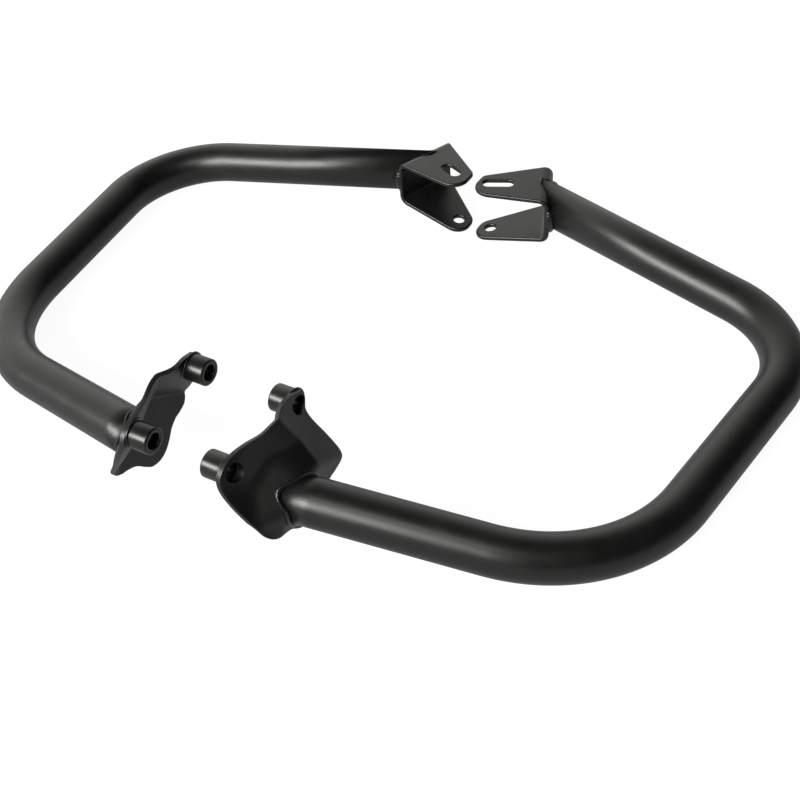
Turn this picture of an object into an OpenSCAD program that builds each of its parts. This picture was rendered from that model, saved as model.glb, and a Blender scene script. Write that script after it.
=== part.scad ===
// Pair of motorcycle crash bars: two mirrored bent tubes, each with a folded
// two-ear bracket at the upper end and a formed two-bolt plate at the lower end.
// Units mm. X runs across the motorcycle, -Y is the open front, Z is up.

/* [Tube] */
// outside diameter of the bent tube
tube_d = 32; // [22:1:45]
// wall thickness of the tube
tube_wall = 2.5; // [1.5:0.25:5]
// half distance between the outer bend vertices, upper end
top_bend_x = 285.4; // [200:1:360]
// half distance between the outer bend vertices, lower end
low_bend_x = 254; // [180:1:330]
// half distance between the two outer bend vertices along the bar
bend_y = 131.75; // [80:1:200]
// centreline radius of the bend next to the folded bracket
top_bend_r = 73; // [45:1:110]
// centreline radius of the bend next to the formed plate
low_bend_r = 116; // [60:1:150]

/* [Folded bracket] */
// thickness of the folded bracket sheet
ear_t = 4; // [2.5:0.5:8]
// clear gap between the two ears
ear_gap = 36; // [20:1:60]
// outside radius of the two folds
fold_r = 7; // [5:0.5:12]
// radius of the rounded ear ends
ear_end_r = 17.8; // [12:0.2:24]
// width of the adjusting slot in the upper ear
slot_w = 9; // [6:0.5:13]
// overall length of the slot on the right bar
slot_len_right = 26; // [12:0.5:32]
// overall length of the slot on the left bar
slot_len_left = 19.5; // [12:0.5:32]
// diameter of the bolt hole in the lower ear
ear_hole_d = 9; // [5:0.5:13]

/* [Formed plate] */
// thickness of the formed plate
plate_t = 3; // [2:0.5:6]
// diameter of the two holes through the formed plate
plate_hole_d = 12.8; // [8:0.2:16]

/* [Spacers] */
// outside diameter of the spacer tubes
spacer_d = 17.6; // [14:0.2:24]
// bore of the spacer tubes for the frame bolts
spacer_bore_d = 10.5; // [8:0.1:13]
// depth of the bevel around the bore at the frame end
bevel = 0.8; // [0.3:0.1:1.5]
// frame end of the front spacer, distance from the mirror plane
front_end_x = 20.3; // [10:0.1:30]
// frame end of the rear spacer, distance from the mirror plane
rear_end_x = 25.2; // [10:0.1:32]

/* [Welds] */
// throat of the weld beads at the tube ends
weld = 3; // [1.5:0.25:5]
// throat of the weld beads round the spacers
small_weld = 1.8; // [1:0.1:3]

/* [Hidden] */
$fn = 64;
shift_y = 5;        // centres the pair on the origin
t_r = tube_d / 2;
lift = t_r;         // floor below the tube centreline plane
hair = 0.02;        // step between the bends and the straight runs
far = 400;
P0 = [64.83, 181.56, 19.01];
P1 = [top_bend_x, bend_y, 0];
P2 = [low_bend_x, -bend_y, 0];
P3 = [15.79, -190.63, 35.46];
function unit(v) = v / norm(v);
D01 = unit(P1 - P0);
D12 = unit(P2 - P1);
D23 = unit(P3 - P2);
web_a = [61, 161, 0];       // front corner of the folded bracket in plan
web_b = [43.2, 205.8, 0];   // rear corner of the folded bracket in plan
web_dir = unit(web_b - web_a);
web_out = [web_dir[1], -web_dir[0], 0];
web_len = norm(web_b - web_a);
ear_top = 36;
ear_low = ear_top - 2 * ear_t - ear_gap;
ear_end = [21.8, 169.6];
slot_at = [20.2, 167.4];
hole_at = [14.4, slot_at[1]];
front_at = [-203.6, 61];    // y, z of the front spacer axis
rear_at = [-139.4, 63.9];   // y, z of the rear spacer axis

// planes of the formed plate, outer face: x = p[0] + p[3]*(y-p[1]) + p[4]*(z-p[2])
flat_p = [39.2, -203.6, 61, 0.044, 0];
front_p = [43, -158, 69, 0.28, -0.8355];
rear_p = [65, -160, 42, -0.501, -0.807];
knee_a = [48, -166, 75, 0.362, -0.341];
knee_b = [48, -166, 75, -0.688, -0.634];
pad_p = [60, -180, 0, 0.06, 0.1];
rim = [[-139,73.5],[-147,74],[-157,72.5],[-170,71],[-180,71.5],[-190,72],[-204,73],[-211,70.5],
    [-215,65],[-215.8,57],[-214.5,48],[-212.5,37],[-210.5,27],[-208,21.5],[-203,18],[-195,16],
    [-189,12],[-184,6],[-178,2],[-170,1],[-163,3],[-157,8],[-152,13.5],[-146,18],[-139,20.5],
    [-133,24],[-130,31],[-130,40],[-131,48],[-129.5,56],[-128.6,65],[-132,71.5]];

// round bar from a to b
module rod(a, b, r) {
    v = b - a;
    l = norm(v);
    translate(a) rotate([0, acos(v[2] / l), atan2(v[1], v[0])]) cylinder(r = r, h = l);
}

// bend about corner p between directions u and v, centreline radius br
module elbow(p, u, v, br, r) {
    turn = acos(u * v);
    n = unit(cross(u, v));
    s = p - u * br * tan(turn / 2);
    e1 = cross(u, n);
    c = s - e1 * br;
    translate(c) rotate([atan2(u[2], n[2]), asin(-e1[2]), atan2(e1[1], e1[0])])
        rotate_extrude(angle = turn, $fn = 144) translate([br, 0]) circle(r = r);
}

// whole bar along its centreline, ends run on by extra; the straight runs are a hair
// slimmer than the bends and reach 1 mm into them
module bar(r, extra) {
    cut1 = top_bend_r * tan(acos(D01 * D12) / 2) - 1;
    cut2 = low_bend_r * tan(acos(D12 * D23) / 2) - 1;
    rod(P0 - D01 * (30 + extra), P1 - D01 * cut1, r - hair);
    elbow(P1, D01, D12, top_bend_r, r);
    rod(P1 + D12 * cut1, P2 - D12 * cut2, r - hair);
    elbow(P2, D12, D23, low_bend_r, r);
    rod(P2 + D23 * cut2, P3 + D23 * extra, r - hair);
}

// half space on the inner side of a plane, moved outward by off
module under_one(p, off) {
    n = unit([1, -p[3], -p[4]]);
    translate([p[0], p[1], p[2]]) rotate([0, acos(n[2]), atan2(n[1], n[0])])
        translate([-far / 2, -far / 2, off - far]) cube(far);
}

// everything on the inner side of the formed plate's outer face, moved outward by off
module under(off) {
    intersection() {
        under_one(pad_p, off);
        union() {
            under_one(flat_p, off);
            intersection() { under_one(front_p, off); under_one(rear_p, off); }
            intersection() { under_one(knee_a, off); under_one(knee_b, off); }
        }
    }
}

// smooth closed curve through the rim points
function curve(a, b, c, d, t) = 0.5 * (2 * b + (c - a) * t + (2 * a - 5 * b + 4 * c - d) * t * t
    + (3 * b - a - 3 * c + d) * t * t * t);
rim_n = len(rim);
rim_line = [for (i = [0 : rim_n - 1], k = [0 : 2])
    curve(rim[(i + rim_n - 1) % rim_n], rim[i], rim[(i + 1) % rim_n], rim[(i + 2) % rim_n], k / 3)];

// cylinder along X at a spacer axis
module along_x(at, x0, x1, d) {
    translate([x0, at[0], at[1]]) rotate([0, 90, 0]) cylinder(d = d, h = x1 - x0);
}

module plate() {
    difference() {
        intersection() {
            rotate([90, 0, 90]) linear_extrude(height = 90) polygon(rim_line);
            under(0);
        }
        under(-plate_t);
        along_x(front_at, 0, 90, plate_hole_d);
        along_x(rear_at, 0, 90, plate_hole_d);
    }
}

module spacer(at, end_x) {
    difference() {
        intersection() {
            along_x(at, end_x, 60, spacer_d);
            under(-plate_t);
        }
        along_x(at, 0, 90, spacer_bore_d);
        translate([end_x, at[0], at[1]]) rotate([0, 90, 0])
            translate([0, 0, -0.01]) cylinder(d1 = spacer_bore_d + 2 * bevel, d2 = spacer_bore_d, h = bevel);
    }
}

module spacer_weld(at) {
    difference() {
        intersection() {
            along_x(at, 30, 60, spacer_d + 2 * small_weld);
            under(-plate_t);
            rotate([90, 0, 90]) linear_extrude(height = 90) polygon(rim_line);
        }
        under(-plate_t - small_weld);
        along_x(at, 0, 90, spacer_d);
    }
}

// plan shape of both ears, from the web to the rounded end
module ear_plan() {
    e = ear_end;
    back = unit([web_b[0] - 5.3, web_b[1] - 180.2]);
    front = unit([web_a[0] - 17.3, web_a[1] - 150.3]);
    union() {
        translate(e) circle(r = ear_end_r, $fn = 96);
        polygon([[web_a[0], web_a[1]], [web_b[0], web_b[1]],
            e + ear_end_r * [-back[1], back[0]], e, e + ear_end_r * [front[1], -front[0]]]);
    }
}

// rounded U section of the folded bracket, swept along the web
module fold_section(inset) {
    h = ear_top - ear_low;
    r = fold_r - inset;
    difference() {
        union() {
            translate([-90, inset]) square([90 - fold_r, h - 2 * inset]);
            translate([-fold_r - 1, fold_r]) square([fold_r + 1 - inset, h - 2 * fold_r]);
            translate([-fold_r, fold_r]) circle(r = r, $fn = 96);
            translate([-fold_r, h - fold_r]) circle(r = r, $fn = 96);
            translate([-fold_r - 1, inset]) square([1, h - 2 * inset]);
        }
    }
}

// places a section drawn with X outward and Y up against the web, length l along it
module at_web(l, start) {
    translate([web_a[0], web_a[1], ear_low]) rotate([0, 0, atan2(web_out[1], web_out[0])])
        translate([0, start, 0]) rotate([90, 0, 0]) mirror([0, 0, 1]) linear_extrude(height = l) children();
}

module clevis(slot_len) {
    difference() {
        intersection() {
            translate([0, 0, ear_low]) linear_extrude(height = ear_top - ear_low) ear_plan();
            at_web(web_len + 120, -60) fold_section(0);
        }
        at_web(web_len + 130, -65) fold_section(ear_t);
        slot(slot_len);
        translate([hole_at[0], hole_at[1], ear_low - 1]) cylinder(d = ear_hole_d, h = ear_t + 2);
    }
}

module slot(slot_len) {
    half = (slot_len - slot_w) / 2;
    translate([slot_at[0], slot_at[1], ear_top - ear_t - 1]) linear_extrude(height = ear_t + 2) union() {
        translate([-half, 0]) circle(d = slot_w);
        translate([half, 0]) circle(d = slot_w);
        translate([-half, -slot_w / 2]) square([2 * half, slot_w]);
    }
}

// block on the inner side of the web's outer face
module behind_web() {
    translate([web_a[0], web_a[1], 0]) rotate([0, 0, atan2(web_out[1], web_out[0])])
        translate([-70, -20, -30]) cube([70, web_len + 40, 100]);
}

// the same body as under(0), front half only
module plate_side() {
    intersection() { under(0); translate([-far / 4, -far, -far / 2]) cube(far); }
}

// round-cornered outer body of the folded bracket
module clevis_body(off) {
    at_web(web_len + 2 * off, -off) fold_outer(off);
}

module fold_outer(off) {
    h = ear_top - ear_low;
    r = fold_r + off;
    union() {
        translate([-60, -off]) square([60 - fold_r, h + 2 * off]);
        translate([-fold_r - 1, fold_r]) square([fold_r + 1 + off, h - 2 * fold_r]);
        translate([-fold_r, fold_r]) circle(r = r, $fn = 96);
        translate([-fold_r, h - fold_r]) circle(r = r, $fn = 96);
    }
}

module tube() {
    difference() {
        bar(t_r, 10);
        bar(t_r - tube_wall, 20);
        clevis_body(0);
        behind_web();
        plate_side();
    }
}

module clevis_weld() {
    difference() {
        intersection() {
            rod(P0 - D01 * 30, P0 + D01 * 20, t_r + weld);
            clevis_body(weld);
        }
        rod(P0 - D01 * 40, P0 + D01 * 40, t_r);
        clevis_body(0);
        behind_web();
    }
}

module plate_weld() {
    difference() {
        intersection() {
            rod(P3 - D23 * 80, P3, t_r + weld);
            under(weld);
            translate([30, 0, 0]) rotate([90, 0, 90]) linear_extrude(height = 90) polygon(rim_line);
        }
        rod(P3 - D23 * 90, P3 + D23 * 10, t_r);
        plate_side();
    }
}

module place(side) {
    translate([0, shift_y, lift]) if (side > 0) children(); else mirror([1, 0, 0]) children();
}

module right_tube() color([0.09, 0.09, 0.09]) place(1) tube();
module left_tube() color([0.09, 0.09, 0.09]) place(-1) tube();
module right_clevis() color([0.12, 0.12, 0.12]) place(1) clevis(slot_len_right);
module left_clevis() color([0.12, 0.12, 0.12]) place(-1) clevis(slot_len_left);
module right_plate() color([0.12, 0.12, 0.12]) place(1) plate();
module left_plate() color([0.12, 0.12, 0.12]) place(-1) plate();
module right_front_spacer() color([0.2, 0.2, 0.19]) place(1) spacer(front_at, front_end_x);
module left_front_spacer() color([0.2, 0.2, 0.19]) place(-1) spacer(front_at, front_end_x);
module right_rear_spacer() color([0.2, 0.2, 0.19]) place(1) spacer(rear_at, rear_end_x);
module left_rear_spacer() color([0.2, 0.2, 0.19]) place(-1) spacer(rear_at, rear_end_x);
module right_clevis_weld() color([0.07, 0.07, 0.07]) place(1) clevis_weld();
module left_clevis_weld() color([0.07, 0.07, 0.07]) place(-1) clevis_weld();
module right_plate_weld() color([0.07, 0.07, 0.07]) place(1) plate_weld();
module left_plate_weld() color([0.07, 0.07, 0.07]) place(-1) plate_weld();
module right_front_spacer_weld() color([0.07, 0.07, 0.07]) place(1) spacer_weld(front_at);
module left_front_spacer_weld() color([0.07, 0.07, 0.07]) place(-1) spacer_weld(front_at);
module right_rear_spacer_weld() color([0.07, 0.07, 0.07]) place(1) spacer_weld(rear_at);
module left_rear_spacer_weld() color([0.07, 0.07, 0.07]) place(-1) spacer_weld(rear_at);

right_tube();
right_clevis();
right_plate();
right_front_spacer();
right_rear_spacer();
right_clevis_weld();
right_plate_weld();
right_front_spacer_weld();
right_rear_spacer_weld();
left_tube();
left_clevis();
left_plate();
left_front_spacer();
left_rear_spacer();
left_clevis_weld();
left_plate_weld();
left_front_spacer_weld();
left_rear_spacer_weld();
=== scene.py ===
"""Looks for a pair of motorcycle crash bars in black powder coat.

Every size is in millimetres in the helpers and becomes metres in the meshes.
The right bar is modelled and mirrored across x = 0 for the left one, which has
a shorter slot and a deeper seat for its tube.
"""

import math

import bmesh
import bpy
from bpy.props import (
    FloatProperty,
    FloatVectorProperty,
    IntProperty,
    PointerProperty,
)
from mathutils import Matrix, Vector


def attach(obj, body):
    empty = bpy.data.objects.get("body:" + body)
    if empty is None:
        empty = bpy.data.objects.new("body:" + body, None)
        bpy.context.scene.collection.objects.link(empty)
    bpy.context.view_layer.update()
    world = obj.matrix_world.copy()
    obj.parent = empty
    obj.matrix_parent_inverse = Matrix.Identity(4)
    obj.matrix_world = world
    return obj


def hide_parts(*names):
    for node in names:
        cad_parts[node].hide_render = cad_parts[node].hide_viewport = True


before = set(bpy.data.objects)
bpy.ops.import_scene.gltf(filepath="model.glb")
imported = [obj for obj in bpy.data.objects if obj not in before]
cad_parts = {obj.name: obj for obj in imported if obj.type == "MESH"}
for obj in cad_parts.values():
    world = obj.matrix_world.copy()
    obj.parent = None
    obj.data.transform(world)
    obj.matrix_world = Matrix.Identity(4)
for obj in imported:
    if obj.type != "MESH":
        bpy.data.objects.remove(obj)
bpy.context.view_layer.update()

bl_info = {
    "name": "Motorcycle Crash Bars",
    "version": (1, 0, 0),
    "blender": (4, 5, 0),
    "location": "View3D > Sidebar > Crash Bars",
    "description": "Bent tubes, folded brackets, pressed plates, spacers and weld beads",
    "category": "Object",
}

MM = 0.001
SIDES = (("right", 1), ("left", -1))
MERGE_WITHIN = 1e-4
HALVINGS = 40

# centreline of the right tube
BRACKET_END = Vector((64.83, 186.56, 35.01))
UPPER_CORNER = Vector((285.4, 136.75, 16.0))
LOWER_CORNER = Vector((254.0, -126.75, 16.0))
PLATE_END = Vector((15.79, -185.63, 51.46))
# the skin is slid onto the sheet from these distances, at most this far, and bites this deep
CLEAR_OF_WEB, CLEAR_OF_PLATE = 40, 60
WEB_REACH, PLATE_REACH = 90.0, 120.0
WEB_BITE, PLATE_BITE = 2.0, 1.4
RUN_PIECES, BEND_STEPS = 2, 56

# folded bracket: outer corners of its web in plan, and the heights of its sharp edges
WEB_FRONT = Vector((66.6, 168.0, 0.0))
WEB_BACK = Vector((47.6, 215.7, 0.0))
WEB_FOOT, WEB_TOP = 14.2, 52.0
FOLD_RADIUS = 8.0
FOLD_STEPS = 24
# each ear's tip: y and corner radius at its front and at its rear
TIP_X = 4.0
UPPER_TIP = ((154.1, 13.0), (180.0, 7.0))
LOWER_TIP = ((156.3, 11.0), (177.4, 10.0))
# in plan, the centre of the slot's round end nearest the web, and the lower ear's hole
SLOT_END = (26.7, 178.3)
EAR_HOLE_AT = (14.5, 171.8)
CUTTER_SEGMENTS = 64

# facets of the pressed plate's outer face: x, the y and z where it has that x, and its
# slopes along y and z
FLAT = (38.0, -198.6, 77.0, 0.062, 0.0)
LOW = (39.2, -210.0, 71.5, 0.0, -0.6)
FRONT_LEAF = (44.3, -177.8, 75.6, 0.27, -1.44)
SHOULDER = (65.2, -177.0, 61.0, 0.02, -0.837)
REAR_LEAF = (52.7, -125.0, 55.4, -0.6, -0.876)
WALL = (66.0, -189.5, 48.5, 0.9, -1.2)
FOOT = (66.0, -191.0, 46.0, 0.75, -0.25)
KNEE_FRONT = (47.0, -165.0, 90.0, 0.4, -0.35)
KNEE_REAR = (47.0, -161.0, 91.0, -0.6, -0.634)
KNEE_TOP = (47.0, -165.0, 90.0, 0.0, -0.55)
PAD = (65.0, -180.0, 54.0, 0.0, 0.14)
RIM = (
    (-133, 88.8), (-140, 90.4), (-150, 90.4), (-159, 91), (-167, 90.2), (-175, 88.5),
    (-185, 88.3), (-195, 88), (-201.8, 86.7), (-207, 83.8), (-210.4, 78.5), (-211.4, 71),
    (-210.6, 61), (-208.2, 50), (-206, 41), (-203.5, 35.5), (-198.5, 32), (-192, 30.5),
    (-185, 27.5), (-179, 22), (-173, 17.5), (-165, 16.5), (-158, 19), (-152, 24),
    (-147, 29.5), (-141, 33.3), (-135.5, 34.8), (-129, 38), (-126, 45), (-126.4, 54),
    (-128.2, 64), (-128.4, 72), (-127.2, 81), (-128.8, 86.8),
)
RIM_CENTRE = Vector((-168.0, 58.0))
# points per span of the rim, rings inside it, and the size of the first of them
SPAN_STEPS, PLATE_RINGS, RIM_RING = 13, 70, 0.955
# the tube's flat seat stands a little further out on the right plate than on the left
SEAT_SHIFT = {"right": 2.5, "left": -2.0}
# y and z of each bolt, and x of the free end of its spacer
BOLT_POINTS = {"front": (-198.6, 77.0, 20.3), "rear": (-134.4, 79.9, 25.2)}
DRILL_X, DRILL_LENGTH, DRILL_SEGMENTS = 42, 60, 96

# rounded rims of a spacer: distance from its free end, and from its bore or its skin
BORE_RIM = ((1.0, 0.0), (0.55, 0.15), (0.1, 0.7), (0.0, 1.0))
SKIN_RIM = ((0.0, 1.1), (0.15, 0.55), (0.55, 0.15), (1.1, 0.0))
SPACER_BITE = 1.2
SPACER_STEPS = 96

# weld beads: facets round the seam and round the section
BEAD_STEPS, BEAD_SECTION = 320, 20
BEAD_BASE, RIPPLE_HEIGHT, RIPPLE_LEAD = 0.97, 0.05, 0.9
# the bracket's bead thins out over the top fold, from 0.4 of its radius below it
THIN_START, THIN_RATE, THINNEST = 0.4, 1.4, 0.16

# studio: bearing, elevation, distance, size, and share of the key light's power
LIGHTS = {
    "key": (-169, 32, 6.6, (3.75, 2.7), 1.0),
    "key_left": (-135, 24, 6.6, (2.7, 2.1), 0.52),
    "key_high": (164, 57, 2.2, (0.6, 0.5), 0.0078),
}
LIGHT_TINT = (1.0, 1.0, 0.97)
PALE_SIDE = (-0.762, 0.640, -0.1)
FLOOR_HALF, FLOOR_DROP, FLOOR_GREY = 30.0, 0.0004, 0.11
CAMERA_AT, CAMERA_LENS = (0.43746, -0.62137, 0.63138), 61.277
# turns about Z, X and Y, in the order they are multiplied
CAMERA_TURNS = (("Z", -0.69907319), ("X", -0.67417177), ("Y", -0.55447933))


# Settings

class TubeSettings(bpy.types.PropertyGroup):
    diameter: FloatProperty(
        name="Diameter", description="Outside diameter of the tube", default=0.032,
        min=0.02, max=0.05, unit="LENGTH")
    upper_bend: FloatProperty(
        name="Upper bend", description="Centreline radius next to the folded bracket",
        default=0.073, min=0.04, max=0.12, unit="LENGTH")
    lower_bend: FloatProperty(
        name="Lower bend", description="Centreline radius next to the pressed plate",
        default=0.116, min=0.06, max=0.16, unit="LENGTH")
    segments: IntProperty(
        name="Segments", description="Facets around the tube", default=112, min=24, max=256)


class BracketSettings(bpy.types.PropertyGroup):
    thickness: FloatProperty(
        name="Thickness", description="Sheet thickness of the folded bracket",
        default=0.0035, min=0.002, max=0.006, unit="LENGTH")
    splay: FloatProperty(
        name="Splay", description="Angle at which the lower ear falls away",
        default=math.radians(8), min=0.0, max=0.3, subtype="ANGLE")
    slot_width: FloatProperty(
        name="Slot width", description="Width of the slot in the upper ear",
        default=0.009, min=0.005, max=0.013, unit="LENGTH")
    slot_turn: FloatProperty(
        name="Slot turn", description="Angle of the slot to the width of the pair",
        default=math.radians(24), min=0.0, max=0.8, subtype="ANGLE")
    slot_right: FloatProperty(
        name="Right slot", description="Length of the slot on the right bar",
        default=0.024, min=0.012, max=0.03, unit="LENGTH")
    slot_left: FloatProperty(
        name="Left slot", description="Length of the slot on the left bar",
        default=0.0188, min=0.012, max=0.03, unit="LENGTH")
    hole: FloatProperty(
        name="Hole", description="Diameter of the hole in the lower ear",
        default=0.0087, min=0.005, max=0.013, unit="LENGTH")
    edge: FloatProperty(
        name="Edge", description="Rounding of the cut edges", default=0.0012,
        min=0.0001, max=0.0015, unit="LENGTH")


class PlateSettings(bpy.types.PropertyGroup):
    thickness: FloatProperty(
        name="Thickness", description="Sheet thickness of the pressed plate",
        default=0.003, min=0.001, max=0.006, unit="LENGTH")
    hole: FloatProperty(
        name="Hole", description="Diameter of the two bolt holes", default=0.0128,
        min=0.006, max=0.016, unit="LENGTH")
    edge: FloatProperty(
        name="Edge", description="Rounding of the cut edges", default=0.0009,
        min=0.0001, max=0.0014, unit="LENGTH")
    press_radius: FloatProperty(
        name="Press radius", description="Softness of the pressed corners",
        default=0.0035, min=0.001, max=0.02, unit="LENGTH")
    crease_radius: FloatProperty(
        name="Crease radius", description="Softness of the crease between the two leaves",
        default=0.0009, min=0.0005, max=0.01, unit="LENGTH")


class SpacerSettings(bpy.types.PropertyGroup):
    diameter: FloatProperty(
        name="Diameter", description="Outside diameter of the spacer tubes",
        default=0.018, min=0.012, max=0.024, unit="LENGTH")
    bore: FloatProperty(
        name="Bore", description="Bore of the spacer tubes", default=0.0105,
        min=0.006, max=0.014, unit="LENGTH")


class WeldSettings(bpy.types.PropertyGroup):
    plate_bead: FloatProperty(
        name="Plate bead", description="Radius of the bead between tube and plate",
        default=0.0016, min=0.001, max=0.005, unit="LENGTH")
    bracket_bead: FloatProperty(
        name="Bracket bead", description="Radius of the bead between tube and bracket",
        default=0.0034, min=0.001, max=0.005, unit="LENGTH")
    spacer_bead: FloatProperty(
        name="Spacer bead", description="Radius of the beads round the spacers",
        default=0.001, min=0.0005, max=0.003, unit="LENGTH")
    ripple: FloatProperty(
        name="Ripple", description="Distance from one weld ripple to the next",
        default=0.0021, min=0.0008, max=0.005, unit="LENGTH")


class CoatSettings(bpy.types.PropertyGroup):
    black: FloatVectorProperty(
        name="Coat", description="Powder coat colour", subtype="COLOR",
        default=(0.0038, 0.0038, 0.0037), min=0.0, max=1.0)
    roughness: FloatProperty(
        name="Roughness", description="Roughness of the satin coat", default=0.36,
        min=0.0, max=1.0, subtype="FACTOR")
    spacer_roughness: FloatProperty(
        name="Spacer roughness", description="Roughness of the coat on the turned spacers",
        default=0.3, min=0.0, max=1.0, subtype="FACTOR")


class StudioSettings(bpy.types.PropertyGroup):
    floor_glow: FloatProperty(
        name="Floor glow", description="How white the floor is before any light falls on it",
        default=0.95, min=0.0, max=1.0)
    floor_gloss: FloatProperty(
        name="Floor in gloss", description="Share of that white that the coat reflects",
        default=0.43, min=0.0, max=1.0, subtype="FACTOR")
    key_power: FloatProperty(
        name="Key light", description="Power of the large soft light", default=630.0,
        min=0.0, max=2000.0, unit="POWER")
    surround: FloatProperty(
        name="Surround", description="Brightness of the pale studio wall", default=1.25,
        min=0.0, max=2.0)


SETTINGS = {
    "crash_bar_tube": TubeSettings,
    "crash_bar_bracket": BracketSettings,
    "crash_bar_plate": PlateSettings,
    "crash_bar_spacer": SpacerSettings,
    "crash_bar_weld": WeldSettings,
    "crash_bar_coat": CoatSettings,
    "crash_bar_studio": StudioSettings,
}


# Materials

def powder_coat(name, roughness, peel, grain):
    """Black powder coat: fine orange peel, and tone and gloss that are a little cloudy."""
    found = bpy.data.materials.get(name)
    if found:
        return found
    coat = bpy.context.scene.crash_bar_coat
    made = bpy.data.materials.new(name)
    made.use_nodes = True
    nodes, links = made.node_tree.nodes, made.node_tree.links
    shader = nodes["Principled BSDF"]
    shader.inputs["Metallic"].default_value = 0.0
    shader.inputs["IOR"].default_value = 1.5
    place = nodes.new("ShaderNodeTexCoord")

    cloud = nodes.new("ShaderNodeTexNoise")
    cloud.inputs["Scale"].default_value = 55.0
    cloud.inputs["Detail"].default_value = 4.0
    links.new(place.outputs["Object"], cloud.inputs["Vector"])

    tone = nodes.new("ShaderNodeMix")
    tone.data_type = "RGBA"
    tone.inputs["A"].default_value = (*coat.black, 1.0)
    tone.inputs["B"].default_value = (*[1.45 * c for c in coat.black], 1.0)
    links.new(cloud.outputs["Fac"], tone.inputs["Factor"])
    links.new(tone.outputs["Result"], shader.inputs["Base Color"])

    gloss = nodes.new("ShaderNodeMapRange")
    gloss.inputs["From Min"].default_value = 0.3
    gloss.inputs["From Max"].default_value = 0.7
    gloss.inputs["To Min"].default_value = roughness - 0.03
    gloss.inputs["To Max"].default_value = roughness + 0.04
    links.new(cloud.outputs["Fac"], gloss.inputs["Value"])
    links.new(gloss.outputs["Result"], shader.inputs["Roughness"])

    fine = nodes.new("ShaderNodeTexNoise")
    fine.inputs["Scale"].default_value = grain
    fine.inputs["Detail"].default_value = 2.0
    links.new(place.outputs["Object"], fine.inputs["Vector"])
    bump = nodes.new("ShaderNodeBump")
    bump.inputs["Strength"].default_value = peel
    bump.inputs["Distance"].default_value = 0.0002
    links.new(fine.outputs["Fac"], bump.inputs["Height"])
    links.new(bump.outputs["Normal"], shader.inputs["Normal"])
    return made


def tube_coat():
    satin = bpy.context.scene.crash_bar_coat.roughness
    return powder_coat("Tube powder coat", satin, peel=0.25, grain=900.0)


def bracket_coat():
    satin = bpy.context.scene.crash_bar_coat.roughness
    return powder_coat("Bracket powder coat", satin - 0.03, peel=0.3, grain=900.0)


def plate_coat():
    satin = bpy.context.scene.crash_bar_coat.roughness
    return powder_coat("Plate powder coat", satin + 0.06, peel=0.3, grain=900.0)


def spacer_coat():
    semi_gloss = bpy.context.scene.crash_bar_coat.spacer_roughness
    return powder_coat("Spacer coat", semi_gloss, peel=0.06, grain=1400.0)


def weld_coat():
    satin = bpy.context.scene.crash_bar_coat.roughness
    return powder_coat("Weld coat", satin - 0.06, peel=0.25, grain=1200.0)


# Mesh helpers

def place_piece(name, mesh_work, side, slot, material, *stands_for):
    """Turns a bmesh in millimetres into a smooth piece of the right or left bar."""
    bmesh.ops.scale(mesh_work, vec=(side * MM, MM, MM), verts=mesh_work.verts)
    bmesh.ops.recalc_face_normals(mesh_work, faces=mesh_work.faces)
    data = bpy.data.meshes.new(name)
    mesh_work.to_mesh(data)
    mesh_work.free()
    return dress(bpy.data.objects.new(name, data), slot, material, *stands_for)


def dress(piece, slot, material, *stands_for):
    """Links a piece, gives it its coat and ties it to the frame."""
    bpy.context.scene.collection.objects.link(piece)
    piece.data.materials.clear()
    piece.data.materials.append(material)
    piece.data.polygons.foreach_set("use_smooth", [True] * len(piece.data.polygons))
    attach(piece, "root")
    if stands_for:
        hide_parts(*stands_for)
    return piece


def turn_to(direction):
    """Rotation that carries +Z to a direction."""
    return direction.to_track_quat("Z", "Y").to_matrix()


def fresh_ring(made):
    """Vertices and edges at the far side of an extruded ring."""
    verts = [v for v in made["geom"] if isinstance(v, bmesh.types.BMVert)]
    inside = set(verts)
    edges = [
        e for e in made["geom"]
        if isinstance(e, bmesh.types.BMEdge) and all(v in inside for v in e.verts)
    ]
    return verts, edges


def cylinder(diameter, length, segments, matrix):
    work = bmesh.new()
    bmesh.ops.create_cone(
        work, cap_ends=True, segments=segments, radius1=diameter / 2, radius2=diameter / 2,
        depth=length, matrix=matrix)
    return work


def round_corners(mesh_work, angle, width, segments=2):
    """Rounds every edge sharper than an angle."""
    sharp = [
        e for e in mesh_work.edges
        if len(e.link_faces) == 2 and e.calc_face_angle(0.0) > angle
    ]
    bmesh.ops.bevel(
        mesh_work, geom=sharp, offset=width, offset_type="OFFSET", affect="EDGES",
        segments=segments, profile=0.5, material=-1, clamp_overlap=True)


def cut_away(work, *cutters):
    """The mesh with every cutter taken out of it."""
    def lend(mesh_work):
        data = bpy.data.meshes.new("blank")
        mesh_work.to_mesh(data)
        mesh_work.free()
        lent = bpy.data.objects.new("blank", data)
        bpy.context.scene.collection.objects.link(lent)
        return lent

    blank = lend(work)
    tools = [lend(cutter) for cutter in cutters]
    for tool in tools:
        cut = blank.modifiers.new("Cut", "BOOLEAN")
        cut.operation, cut.solver, cut.object = "DIFFERENCE", "EXACT", tool
    bpy.context.view_layer.update()
    seen = blank.evaluated_get(bpy.context.evaluated_depsgraph_get())
    done = bpy.data.meshes.new_from_object(seen)
    result = bmesh.new()
    result.from_mesh(done)
    for lent in (blank, *tools):
        bpy.data.objects.remove(lent)
    return result


# Tube

def bend_of(corner, before, after, radius):
    """Start, centre, axis and angle of the bend at a corner of the centreline."""
    turn = before.angle(after)
    axis = before.cross(after).normalized()
    start = corner - before * radius * math.tan(turn / 2)
    centre = start + axis.cross(before) * radius
    return start, centre, axis, turn


def run_directions():
    return (
        (UPPER_CORNER - BRACKET_END).normalized(),
        (LOWER_CORNER - UPPER_CORNER).normalized(),
        (PLATE_END - LOWER_CORNER).normalized(),
    )


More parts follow.
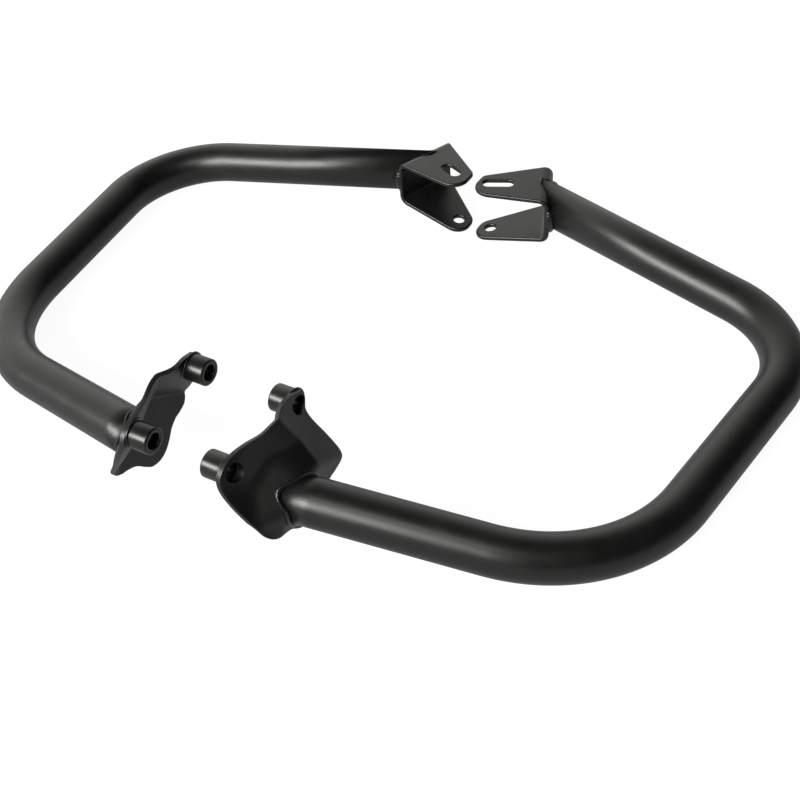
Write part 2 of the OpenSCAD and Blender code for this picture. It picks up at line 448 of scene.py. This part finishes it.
def web_directions():
    """Directions out of the bracket's web and along it, from front to rear."""
    along = (WEB_BACK - WEB_FRONT).normalized()
    return Vector((along.y, -along.x, 0.0)), along


def tube_mesh(seat):
    """Circle carried along the centreline with straight runs and two spun bends."""
    tube = bpy.context.scene.crash_bar_tube
    radius = tube.diameter / MM / 2
    first, middle, last = run_directions()
    work = bmesh.new()
    at = BRACKET_END + first * CLEAR_OF_WEB
    web_ring = bmesh.ops.create_circle(
        work, segments=tube.segments, radius=radius,
        matrix=Matrix.Translation(at) @ turn_to(first).to_4x4())["verts"]
    edges = list(work.edges)

    def straight_to(edges, at, point):
        for _ in range(RUN_PIECES):
            verts, edges = fresh_ring(bmesh.ops.extrude_edge_only(work, edges=edges))
            bmesh.ops.translate(work, vec=(point - at) / RUN_PIECES, verts=verts)
        return edges

    def spin_round(edges, centre, axis, turn):
        made = bmesh.ops.spin(
            work, geom=edges, cent=centre, axis=axis, angle=turn, steps=BEND_STEPS,
            use_duplicate=False)
        return [e for e in made["geom_last"] if isinstance(e, bmesh.types.BMEdge)]

    for corner, before, after, bend in (
        (UPPER_CORNER, first, middle, tube.upper_bend / MM),
        (LOWER_CORNER, middle, last, tube.lower_bend / MM),
    ):
        start, centre, axis, turn = bend_of(corner, before, after, bend)
        edges = straight_to(edges, at, start)
        edges = spin_round(edges, centre, axis, turn)
        at = corner + after * bend * math.tan(turn / 2)
    edges = straight_to(edges, at, PLATE_END - last * CLEAR_OF_PLATE)
    plate_ring, _ = fresh_ring(bmesh.ops.extrude_edge_only(work, edges=edges))
    for v in plate_ring:
        v.co = slide_to_plate(v.co, last, -PLATE_BITE, seat)
    for v in web_ring:
        v.co = slide_to_web(v.co, -first) - first * WEB_BITE
    ends = [e for e in work.edges if e.is_boundary]
    bmesh.ops.holes_fill(work, edges=ends, sides=0)
    return work


# Folded bracket

def ear_folds():
    """Height of each fold's centre, the way it turns and how far it turns."""
    splay = bpy.context.scene.crash_bar_bracket.splay
    low = WEB_FOOT + FOLD_RADIUS * (1 - math.sin(splay)) / math.cos(splay)
    return {
        "upper": (WEB_TOP - FOLD_RADIUS, 1, math.pi / 2),
        "lower": (low, -1, math.pi / 2 - splay),
    }


def slide_to_web(point, direction):
    """Moves a point of the tube's skin along it until it meets the bracket's outer face."""
    outward, _ = web_directions()
    folds = ear_folds()
    top, foot = folds["upper"][0], folds["lower"][0]

    def clear(at):
        past = min(max(foot - at.z, at.z - top, 0.0), FOLD_RADIUS)
        fold = math.sqrt(FOLD_RADIUS ** 2 - past ** 2) - FOLD_RADIUS
        return (at - WEB_FRONT).dot(outward) > fold

    return slide(point, direction, WEB_REACH, clear)


def fold_up(across, along, depth):
    """Carries a point of the flat blank, at a depth in its sheet, to its place on the bar."""
    out, height = -depth, across
    for centre, way, bend in ear_folds().values():
        past = way * (across - centre)
        if past > 0:
            turn = min(past / FOLD_RADIUS, bend)
            ear = past - FOLD_RADIUS * turn
            skin = FOLD_RADIUS - depth
            out = -FOLD_RADIUS + skin * math.cos(turn) - ear * math.sin(turn)
            height = centre + way * (skin * math.sin(turn) + ear * math.cos(turn))
    outward, run = web_directions()
    return WEB_FRONT + outward * out + run * along + Vector((0, 0, height))


def unfold(which, out, along):
    """Place on the flat blank of a point in plan, given from the web's front corner."""
    centre, way, bend = ear_folds()[which]
    turn = math.acos(min((out + FOLD_RADIUS) / FOLD_RADIUS, 1.0)) if out > -FOLD_RADIUS else bend
    turn = min(turn, bend)
    ear = (FOLD_RADIUS * (math.cos(turn) - 1) - out) / math.sin(turn) if turn == bend else 0.0
    return centre + way * (FOLD_RADIUS * turn + ear), along


def from_web(x, y):
    """Point in plan as its reach out of the web and its run along it."""
    outward, along = web_directions()
    at = Vector((x, y, 0.0)) - WEB_FRONT
    return Vector((at.dot(outward), at.dot(along)))


def rounded(corner, before, after, radius, steps=20):
    """Arc that rounds a corner between two neighbouring points."""
    a, b = (before - corner).normalized(), (after - corner).normalized()
    half = a.angle(b) / 2
    heart = corner + (a + b).normalized() * radius / math.sin(half)
    reach = radius / math.tan(half)
    first, last = corner + a * reach - heart, corner + b * reach - heart
    return [
        heart + first.slerp(last, k / steps).normalized() * radius for k in range(steps + 1)]


def ear_outline(which, tip):
    """Outline of one ear on the flat blank, from the web's front corner to its rear one."""
    front, rear = Vector((0, 0)), Vector((0, (WEB_BACK - WEB_FRONT).length))
    q, p = from_web(TIP_X, tip[0][0]), from_web(TIP_X, tip[1][0])
    arcs = rounded(q, front, p, tip[0][1]) + rounded(p, q, rear, tip[1][1])
    _, _, bend = ear_folds()[which]
    reaches = [
        FOLD_RADIUS * (math.cos(bend * k / FOLD_STEPS) - 1) for k in range(FOLD_STEPS + 1)]
    near = [front.lerp(arcs[0], r / arcs[0].x) for r in reaches]
    far = [rear.lerp(arcs[-1], r / arcs[-1].x) for r in reversed(reaches)]
    return [unfold(which, *point) for point in near + arcs + far]


def blank_cutter(which, at, diameter, length=None, turn=0.0):
    """Cylinder, or a long one with straight sides, through one ear of the flat blank.

    A long one has its round end nearest the web centred on the point.
    """
    sheet = bpy.context.scene.crash_bar_bracket.thickness / MM
    _, way, _ = ear_folds()[which]
    ahead = from_web(at[0] + math.cos(turn), at[1] + math.sin(turn)) - from_web(*at)
    axis = Vector((-way * ahead.x, ahead.y, 0.0)).normalized()
    centre = Vector((*unfold(which, *from_web(*at)), sheet / 2))
    spin = math.atan2(axis.y, axis.x) + math.pi / CUTTER_SEGMENTS
    work = cylinder(diameter, 4 * sheet, CUTTER_SEGMENTS, Matrix.Rotation(spin, 4, "Z"))
    run = (length or diameter) - diameter
    for v in work.verts:
        v.co += centre - axis * run if v.co.dot(axis) < 0 else centre
    return work


def bracket_mesh(slot_length):
    """Flat blank, cut, rounded along its edges and then folded round the web."""
    bracket = bpy.context.scene.crash_bar_bracket
    line = ear_outline("upper", UPPER_TIP) + ear_outline("lower", LOWER_TIP)[::-1]
    work = bmesh.new()
    ring = bmesh.ops.create_circle(work, cap_ends=True, segments=len(line), radius=1.0)["verts"]
    for vert, (across, along) in zip(ring, line):
        vert.co = (across, along, 0.0)
    made = bmesh.ops.extrude_face_region(work, geom=work.faces[:])
    inner = [v for v in made["geom"] if isinstance(v, bmesh.types.BMVert)]
    bmesh.ops.translate(work, vec=(0, 0, bracket.thickness / MM), verts=inner)
    bmesh.ops.recalc_face_normals(work, faces=work.faces)
    work = cut_away(
        work,
        blank_cutter("upper", SLOT_END, bracket.slot_width / MM, slot_length, bracket.slot_turn),
        blank_cutter("lower", EAR_HOLE_AT, bracket.hole / MM))
    round_corners(work, math.radians(50), bracket.edge / MM, 3)
    for centre, way, bend in ear_folds().values():
        for k in range(FOLD_STEPS + 1):
            bmesh.ops.bisect_plane(
                work, geom=work.verts[:] + work.edges[:] + work.faces[:], dist=MERGE_WITHIN,
                plane_co=(centre + way * FOLD_RADIUS * bend * k / FOLD_STEPS, 0, 0),
                plane_no=(1, 0, 0))
    for v in work.verts:
        v.co = fold_up(*v.co)
    return work


# Pressed plate

def facet(plane, y, z):
    x, y0, z0, slope_y, slope_z = plane
    return x + slope_y * (y - y0) + slope_z * (z - z0)


def soft_min(a, b, radius):
    h = max(radius - abs(a - b), 0.0) / radius
    return min(a, b) - h * h * radius / 4


def soft_max(a, b, radius):
    return -soft_min(-a, -b, radius)


def plate_face(y, z, seat=0.0):
    """x of the plate's outer face over a point of the side view."""
    plate = bpy.context.scene.crash_bar_plate
    soft, crisp = plate.press_radius / MM, plate.crease_radius / MM
    apron = soft_min(facet(WALL, y, z), facet(FOOT, y, z), soft)
    knee = soft_min(facet(KNEE_FRONT, y, z), facet(KNEE_TOP, y, z), soft)
    leaf = soft_min(facet(FRONT_LEAF, y, z), facet(SHOULDER, y, z), soft)
    front = soft_max(soft_min(leaf, apron, soft), knee, soft)
    rear = soft_max(facet(REAR_LEAF, y, z), facet(KNEE_REAR, y, z), soft)
    flange = soft_max(facet(FLAT, y, z), facet(LOW, y, z), soft)
    body = soft_max(flange, soft_min(front, rear, crisp), soft)
    return soft_min(body, facet(PAD, y, z) + seat, soft)


def slide(point, direction, reach, clear):
    """Moves a point along a direction, as far as reach, while it stays clear."""
    low, high = 0.0, reach
    for _ in range(HALVINGS):
        middle = (low + high) / 2
        if clear(point + direction * middle):
            low = middle
        else:
            high = middle
    return point + direction * high


def slide_to_plate(point, direction, inset, seat):
    """Moves a point of the tube's skin along it until it meets the plate's outer face."""
    return slide(
        point, direction, PLATE_REACH,
        lambda at: at.x > plate_face(at.y, at.z, seat) + inset)


def smooth_rim(per_span):
    """Closed smooth curve through the rim points."""
    count, line = len(RIM), []
    for i in range(count):
        a, b, c, d = (Vector(RIM[(i + k) % count]) for k in (-1, 0, 1, 2))
        for k in range(per_span):
            t = k / per_span
            line.append(0.5 * (
                2 * b + (c - a) * t + (2 * a - 5 * b + 4 * c - d) * t * t
                + (3 * b - a - 3 * c + d) * t ** 3))
    return line


def plate_mesh(seat):
    """Disc of rings moved onto the pressed form, walled, rounded along its rim and drilled."""
    plate = bpy.context.scene.crash_bar_plate
    line = smooth_rim(SPAN_STEPS)
    work = bmesh.new()
    start = bmesh.ops.create_circle(work, segments=len(line), radius=1.0)["verts"]
    for vert, point in zip(start, line):
        vert.co = (0.0, point.x, point.y)
    centre = Vector((0.0, *RIM_CENTRE))
    edges = list(work.edges)
    shares = [1.0] + [RIM_RING * k / PLATE_RINGS for k in range(PLATE_RINGS, 0, -1)]
    for before, share in zip(shares, shares[1:]):
        verts, edges = fresh_ring(bmesh.ops.extrude_edge_only(work, edges=edges))
        for v in verts:
            v.co = centre + (v.co - centre) * share / before
    bmesh.ops.holes_fill(work, edges=edges, sides=0)
    for v in work.verts:
        v.co.x = plate_face(v.co.y, v.co.z, seat)
    bmesh.ops.recalc_face_normals(work, faces=work.faces)
    if sum(f.normal.x * f.calc_area() for f in work.faces) < 0:
        bmesh.ops.reverse_faces(work, faces=work.faces)
    bmesh.ops.solidify(work, geom=work.faces[:], thickness=plate.thickness / MM)
    bmesh.ops.recalc_face_normals(work, faces=work.faces)
    round_corners(work, math.radians(55), plate.edge / MM, 3)
    across = turn_to(Vector((1, 0, 0))).to_4x4()
    return cut_away(work, *(
        cylinder(
            plate.hole / MM, DRILL_LENGTH, DRILL_SEGMENTS,
            Matrix.Translation((DRILL_X, y, z)) @ across)
        for y, z, _ in BOLT_POINTS.values()))


# Welds

def bead_mesh(radius, across, seam, ripple):
    """Bead of weld metal: a torus laid along a seam, its section swelling at each ripple."""
    work = bmesh.new()
    circle = bmesh.ops.create_circle(
        work, segments=BEAD_SECTION, radius=radius,
        matrix=Matrix.Translation((across, 0, 0)) @ Matrix.Rotation(math.pi / 2, 4, "X"))
    bmesh.ops.spin(
        work, geom=circle["verts"] + list(work.edges), cent=(0, 0, 0), axis=(0, 0, 1),
        angle=math.tau, steps=BEAD_STEPS, use_merge=True, use_duplicate=False)
    bmesh.ops.remove_doubles(work, verts=work.verts, dist=MERGE_WITHIN)
    ripples = max(8, round(math.tau * across / ripple))
    for v in work.verts:
        turn = math.atan2(v.co.y, v.co.x)
        out, up = math.hypot(v.co.x, v.co.y) - across, v.co.z
        # each ripple is a crescent: its crest leads the flanks
        lead = RIPPLE_LEAD * (1 - abs(math.atan2(up, out)) / math.pi)
        wave = abs(math.sin((turn * ripples / 2) - lead))
        wander = 0.05 * math.sin(3 * turn + 1.1) + 0.04 * math.sin(7 * turn + 0.4)
        origin, outward, upward, share = seam(turn)
        swell = share * (BEAD_BASE + RIPPLE_HEIGHT * wave + wander)
        v.co = origin + (outward * out + upward * up) * swell
    return work


def tube_skin(centre, direction):
    """Way out of the tube, and the point of its skin, at each turn round the centreline."""
    radius = bpy.context.scene.crash_bar_tube.diameter / MM / 2
    side = direction.cross(Vector((0, 0, 1))).normalized()
    up = side.cross(direction).normalized()

    def skin(turn):
        out = side * math.cos(turn) + up * math.sin(turn)
        return out, centre + out * radius

    return skin


def plate_seam(seat):
    """Where the tube's skin meets the plate, and the two ways out of that corner."""
    _, _, last = run_directions()
    skin = tube_skin(PLATE_END - last * CLEAR_OF_PLATE, last)

    def seam(turn):
        out, start = skin(turn)
        corner = slide_to_plate(start, last, 0.0, seat)
        return corner + (out - last) * 0.5, out, -last, 1.0

    return seam


def web_seam():
    """Where the tube's skin meets the bracket's web; the bead thins out over the top fold."""
    first, _, _ = run_directions()
    skin = tube_skin(BRACKET_END + first * CLEAR_OF_WEB, first)
    top, _, _ = ear_folds()["upper"]

    def seam(turn):
        out, start = skin(turn)
        corner = slide_to_web(start, -first)
        past = min(max((corner.z - top) / FOLD_RADIUS + THIN_START, 0.0), 1.0)
        share = max(1.0 - THIN_RATE * past, THINNEST)
        return corner + (out * 0.5 + first * 0.8) * share, out, first, share

    return seam


def spacer_seam(y, z):
    """Foot of a spacer on the plate's inner face."""
    spacer = bpy.context.scene.crash_bar_spacer
    plate = bpy.context.scene.crash_bar_plate

    def seam(turn):
        out = Vector((0, math.cos(turn), math.sin(turn)))
        skin = Vector((0, y, z)) + out * (spacer.diameter / MM / 2)
        skin.x = plate_face(skin.y, skin.z) - plate.thickness / MM
        return skin + out * 0.3 - Vector((0.3, 0, 0)), out, Vector((-1, 0, 0)), 1.0

    return seam


# Spacers

def spacer_mesh(y, z, end):
    """Turned tube, spun from its section, with rounded rims at its free end."""
    spacer = bpy.context.scene.crash_bar_spacer
    plate = bpy.context.scene.crash_bar_plate
    outer, inner = spacer.diameter / MM / 2, spacer.bore / MM / 2
    foot = plate_face(y, z) - plate.thickness / MM + SPACER_BITE
    section = (
        [(foot, inner)]
        + [(end + along, inner + off) for along, off in BORE_RIM]
        + [(end + along, outer - off) for along, off in SKIN_RIM]
        + [(foot, outer)])
    work = bmesh.new()
    verts = [bmesh.ops.create_vert(work, co=(x, y + r, z))["vert"][0] for x, r in section]
    edges = [work.edges.new(pair) for pair in zip(verts, verts[1:] + verts[:1])]
    bmesh.ops.spin(
        work, geom=verts + edges, cent=(0, y, z), axis=(1, 0, 0), angle=math.tau,
        steps=SPACER_STEPS, use_merge=True, use_duplicate=False)
    bmesh.ops.remove_doubles(work, verts=work.verts, dist=MERGE_WITHIN)
    return work


# Operators

class CRASHBARS_OT_tubes(bpy.types.Operator):
    """Make the two bent tubes"""
    bl_idname = "crashbars.tubes"
    bl_label = "Tubes"

    def execute(self, context):
        for name, side in SIDES:
            place_piece(
                f"{name}_bent_tube", tube_mesh(SEAT_SHIFT[name]), side, "tube", tube_coat(),
                f"{name}_tube")
        return {"FINISHED"}


class CRASHBARS_OT_brackets(bpy.types.Operator):
    """Cut, round and fold the two brackets"""
    bl_idname = "crashbars.brackets"
    bl_label = "Folded brackets"

    def execute(self, context):
        bracket = context.scene.crash_bar_bracket
        for name, side in SIDES:
            slot = bracket.slot_right if side > 0 else bracket.slot_left
            piece = place_piece(
                f"{name}_folded_bracket", bracket_mesh(slot / MM), side, "bracket",
                bracket_coat(), f"{name}_clevis")
            even = piece.modifiers.new("Even shading", "WEIGHTED_NORMAL")
            even.keep_sharp = True
        return {"FINISHED"}


class CRASHBARS_OT_plates(bpy.types.Operator):
    """Press, round and drill the two bolt plates"""
    bl_idname = "crashbars.plates"
    bl_label = "Pressed plates"

    def execute(self, context):
        for name, side in SIDES:
            piece = place_piece(
                f"{name}_pressed_plate", plate_mesh(SEAT_SHIFT[name]), side, "bracket",
                plate_coat(), f"{name}_plate")
            piece.data.set_sharp_from_angle(angle=math.radians(50))
        return {"FINISHED"}


class CRASHBARS_OT_spacers(bpy.types.Operator):
    """Turn the four spacer tubes"""
    bl_idname = "crashbars.spacers"
    bl_label = "Spacers"

    def execute(self, context):
        for name, side in SIDES:
            for where, (y, z, end) in BOLT_POINTS.items():
                piece = place_piece(
                    f"{name}_{where}_turned_spacer", spacer_mesh(y, z, end), side, "spacer",
                    spacer_coat(), f"{name}_{where}_spacer")
                piece.data.set_sharp_from_angle(angle=math.radians(60))
        return {"FINISHED"}


class CRASHBARS_OT_welds(bpy.types.Operator):
    """Lay the weld beads round the tube ends and the spacers"""
    bl_idname = "crashbars.welds"
    bl_label = "Weld beads"

    def execute(self, context):
        weld = context.scene.crash_bar_weld
        tube_radius = context.scene.crash_bar_tube.diameter / MM / 2
        spacer_radius = context.scene.crash_bar_spacer.diameter / MM / 2
        ripple = weld.ripple / MM
        for name, side in SIDES:
            for where, seam, bead in (
                ("plate", plate_seam(SEAT_SHIFT[name]), weld.plate_bead),
                ("clevis", web_seam(), weld.bracket_bead),
            ):
                place_piece(
                    f"{name}_{where}_bead", bead_mesh(bead / MM, tube_radius, seam, ripple),
                    side, "weld", weld_coat(), f"{name}_{where}_weld")
            for where, (y, z, _) in BOLT_POINTS.items():
                place_piece(
                    f"{name}_{where}_spacer_bead",
                    bead_mesh(weld.spacer_bead / MM, spacer_radius, spacer_seam(y, z), ripple),
                    side, "weld", weld_coat(), f"{name}_{where}_spacer_weld")
        return {"FINISHED"}


class CRASHBARS_OT_stage(bpy.types.Operator):
    """Set the white floor, the studio lights and the camera"""
    bl_idname = "crashbars.stage"
    bl_label = "Stage"

    def execute(self, context):
        make_floor(context)
        make_lights(context)
        make_camera(context)
        context.scene.view_settings.view_transform = "Standard"
        return {"FINISHED"}


# Stage

def math_node(nodes, operation, second=None):
    made = nodes.new("ShaderNodeMath")
    made.operation = operation
    if second is not None:
        made.inputs[1].default_value = second
    return made


def make_floor(context):
    """White floor that glows for the camera and for gloss, and still takes a shadow."""
    studio = context.scene.crash_bar_studio
    work = bmesh.new()
    bmesh.ops.create_grid(work, x_segments=1, y_segments=1, size=FLOOR_HALF)
    data = bpy.data.meshes.new("floor")
    work.to_mesh(data)
    work.free()
    floor = bpy.data.objects.new("floor", data)
    floor.location.z = -FLOOR_DROP
    context.scene.collection.objects.link(floor)
    paper = bpy.data.materials.new("White floor")
    paper.use_nodes = True
    nodes, links = paper.node_tree.nodes, paper.node_tree.links
    nodes.clear()
    glow = nodes.new("ShaderNodeEmission")
    glow.inputs["Color"].default_value = (1, 1, 1, 1)
    matte = nodes.new("ShaderNodeBsdfDiffuse")
    matte.inputs["Color"].default_value = (FLOOR_GREY, FLOOR_GREY, FLOOR_GREY, 1)
    rays = nodes.new("ShaderNodeLightPath")
    gloss = math_node(nodes, "MULTIPLY", studio.floor_gloss)
    seen = math_node(nodes, "MAXIMUM")
    seen_through = math_node(nodes, "MAXIMUM")
    strength = math_node(nodes, "MULTIPLY", studio.floor_glow)
    total = nodes.new("ShaderNodeAddShader")
    out = nodes.new("ShaderNodeOutputMaterial")
    links.new(rays.outputs["Is Camera Ray"], seen.inputs[0])
    links.new(rays.outputs["Is Glossy Ray"], gloss.inputs[0])
    links.new(gloss.outputs[0], seen.inputs[1])
    links.new(seen.outputs[0], seen_through.inputs[0])
    links.new(rays.outputs["Is Transmission Ray"], seen_through.inputs[1])
    links.new(seen_through.outputs[0], strength.inputs[0])
    links.new(strength.outputs[0], glow.inputs["Strength"])
    links.new(glow.outputs[0], total.inputs[0])
    links.new(matte.outputs[0], total.inputs[1])
    links.new(total.outputs[0], out.inputs["Surface"])
    data.materials.append(paper)


def aim(thing, target):
    thing.rotation_euler = (Vector(target) - thing.location).to_track_quat("-Z", "Y").to_euler()


def soft_light(context, name, azimuth, elevation, distance, size, power):
    """Area light by compass bearing from +Y, aimed at the middle of the pair."""
    data = bpy.data.lights.new(name, "AREA")
    data.shape, data.size, data.size_y = "RECTANGLE", size[0], size[1]
    data.energy = power
    data.color = LIGHT_TINT
    lamp = bpy.data.objects.new(name, data)
    a, e = math.radians(azimuth), math.radians(elevation)
    lamp.location = distance * Vector(
        (math.sin(a) * math.cos(e), math.cos(a) * math.cos(e), math.sin(e)))
    aim(lamp, (0, 0, 0.02))
    context.scene.collection.objects.link(lamp)


def make_lights(context):
    """Three soft lights, and a surround that is pale on one side and dark elsewhere."""
    studio = context.scene.crash_bar_studio
    for name, (*placing, share) in LIGHTS.items():
        soft_light(context, name, *placing, studio.key_power * share)
    world = context.scene.world or bpy.data.worlds.new("Studio")
    context.scene.world = world
    world.use_nodes = True
    nodes, links = world.node_tree.nodes, world.node_tree.links
    nodes.clear()
    out = nodes.new("ShaderNodeOutputWorld")
    surround = nodes.new("ShaderNodeBackground")
    surround.inputs["Color"].default_value = (*LIGHT_TINT, 1)
    white = nodes.new("ShaderNodeBackground")
    white.inputs["Color"].default_value = (1, 1, 1, 1)
    white.inputs["Strength"].default_value = 1.0
    place = nodes.new("ShaderNodeTexCoord")
    facing = nodes.new("ShaderNodeVectorMath")
    facing.operation = "DOT_PRODUCT"
    facing.inputs[1].default_value = PALE_SIDE
    fade = nodes.new("ShaderNodeMapRange")
    fade.interpolation_type = "SMOOTHSTEP"
    fade.inputs["From Min"].default_value = 0.1
    fade.inputs["From Max"].default_value = 0.95
    fade.inputs["To Min"].default_value = 0.012
    fade.inputs["To Max"].default_value = studio.surround
    rays = nodes.new("ShaderNodeLightPath")
    mix = nodes.new("ShaderNodeMixShader")
    links.new(place.outputs["Generated"], facing.inputs[0])
    links.new(facing.outputs["Value"], fade.inputs["Value"])
    links.new(fade.outputs["Result"], surround.inputs["Strength"])
    links.new(rays.outputs["Is Camera Ray"], mix.inputs["Fac"])
    links.new(surround.outputs[0], mix.inputs[1])
    links.new(white.outputs[0], mix.inputs[2])
    links.new(mix.outputs[0], out.inputs["Surface"])


def make_camera(context):
    """Camera found from the sizes and places of both bars in the photograph."""
    data = bpy.data.cameras.new("camera")
    data.sensor_width = 36.0
    data.lens = CAMERA_LENS
    data.clip_start, data.clip_end = 0.01, 100.0
    camera = bpy.data.objects.new("camera", data)
    camera.location = CAMERA_AT
    about_z, about_x, about_y = (Matrix.Rotation(turn, 3, axis) for axis, turn in CAMERA_TURNS)
    to_view = about_z @ about_x @ about_y
    camera.rotation_euler = to_view.transposed().to_euler()
    context.scene.collection.objects.link(camera)
    context.scene.camera = camera


# Panel

class CRASHBARS_PT_panel(bpy.types.Panel):
    """Sizes and finishes of the crash bars"""
    bl_label = "Crash Bars"
    bl_idname = "CRASHBARS_PT_panel"
    bl_space_type = "VIEW_3D"
    bl_region_type = "UI"
    bl_category = "Crash Bars"

    def draw(self, context):
        for attribute, group in SETTINGS.items():
            box = self.layout.box()
            values = getattr(context.scene, attribute)
            for field in group.__annotations__:
                box.prop(values, field)
        for step in OPERATORS:
            self.layout.operator(step.bl_idname)


OPERATORS = (
    CRASHBARS_OT_tubes,
    CRASHBARS_OT_brackets,
    CRASHBARS_OT_plates,
    CRASHBARS_OT_spacers,
    CRASHBARS_OT_welds,
    CRASHBARS_OT_stage,
)


def register():
    for cls in (*SETTINGS.values(), *OPERATORS, CRASHBARS_PT_panel):
        bpy.utils.register_class(cls)
    for attribute, group in SETTINGS.items():
        setattr(bpy.types.Scene, attribute, PointerProperty(type=group))


def unregister():
    for attribute in SETTINGS:
        delattr(bpy.types.Scene, attribute)
    for cls in reversed((*SETTINGS.values(), *OPERATORS, CRASHBARS_PT_panel)):
        bpy.utils.unregister_class(cls)


def main():
    register()
    bpy.ops.crashbars.stage()
    bpy.ops.crashbars.tubes()
    bpy.ops.crashbars.brackets()
    bpy.ops.crashbars.plates()
    bpy.ops.crashbars.spacers()
    bpy.ops.crashbars.welds()


if __name__ == "__main__":
    main()
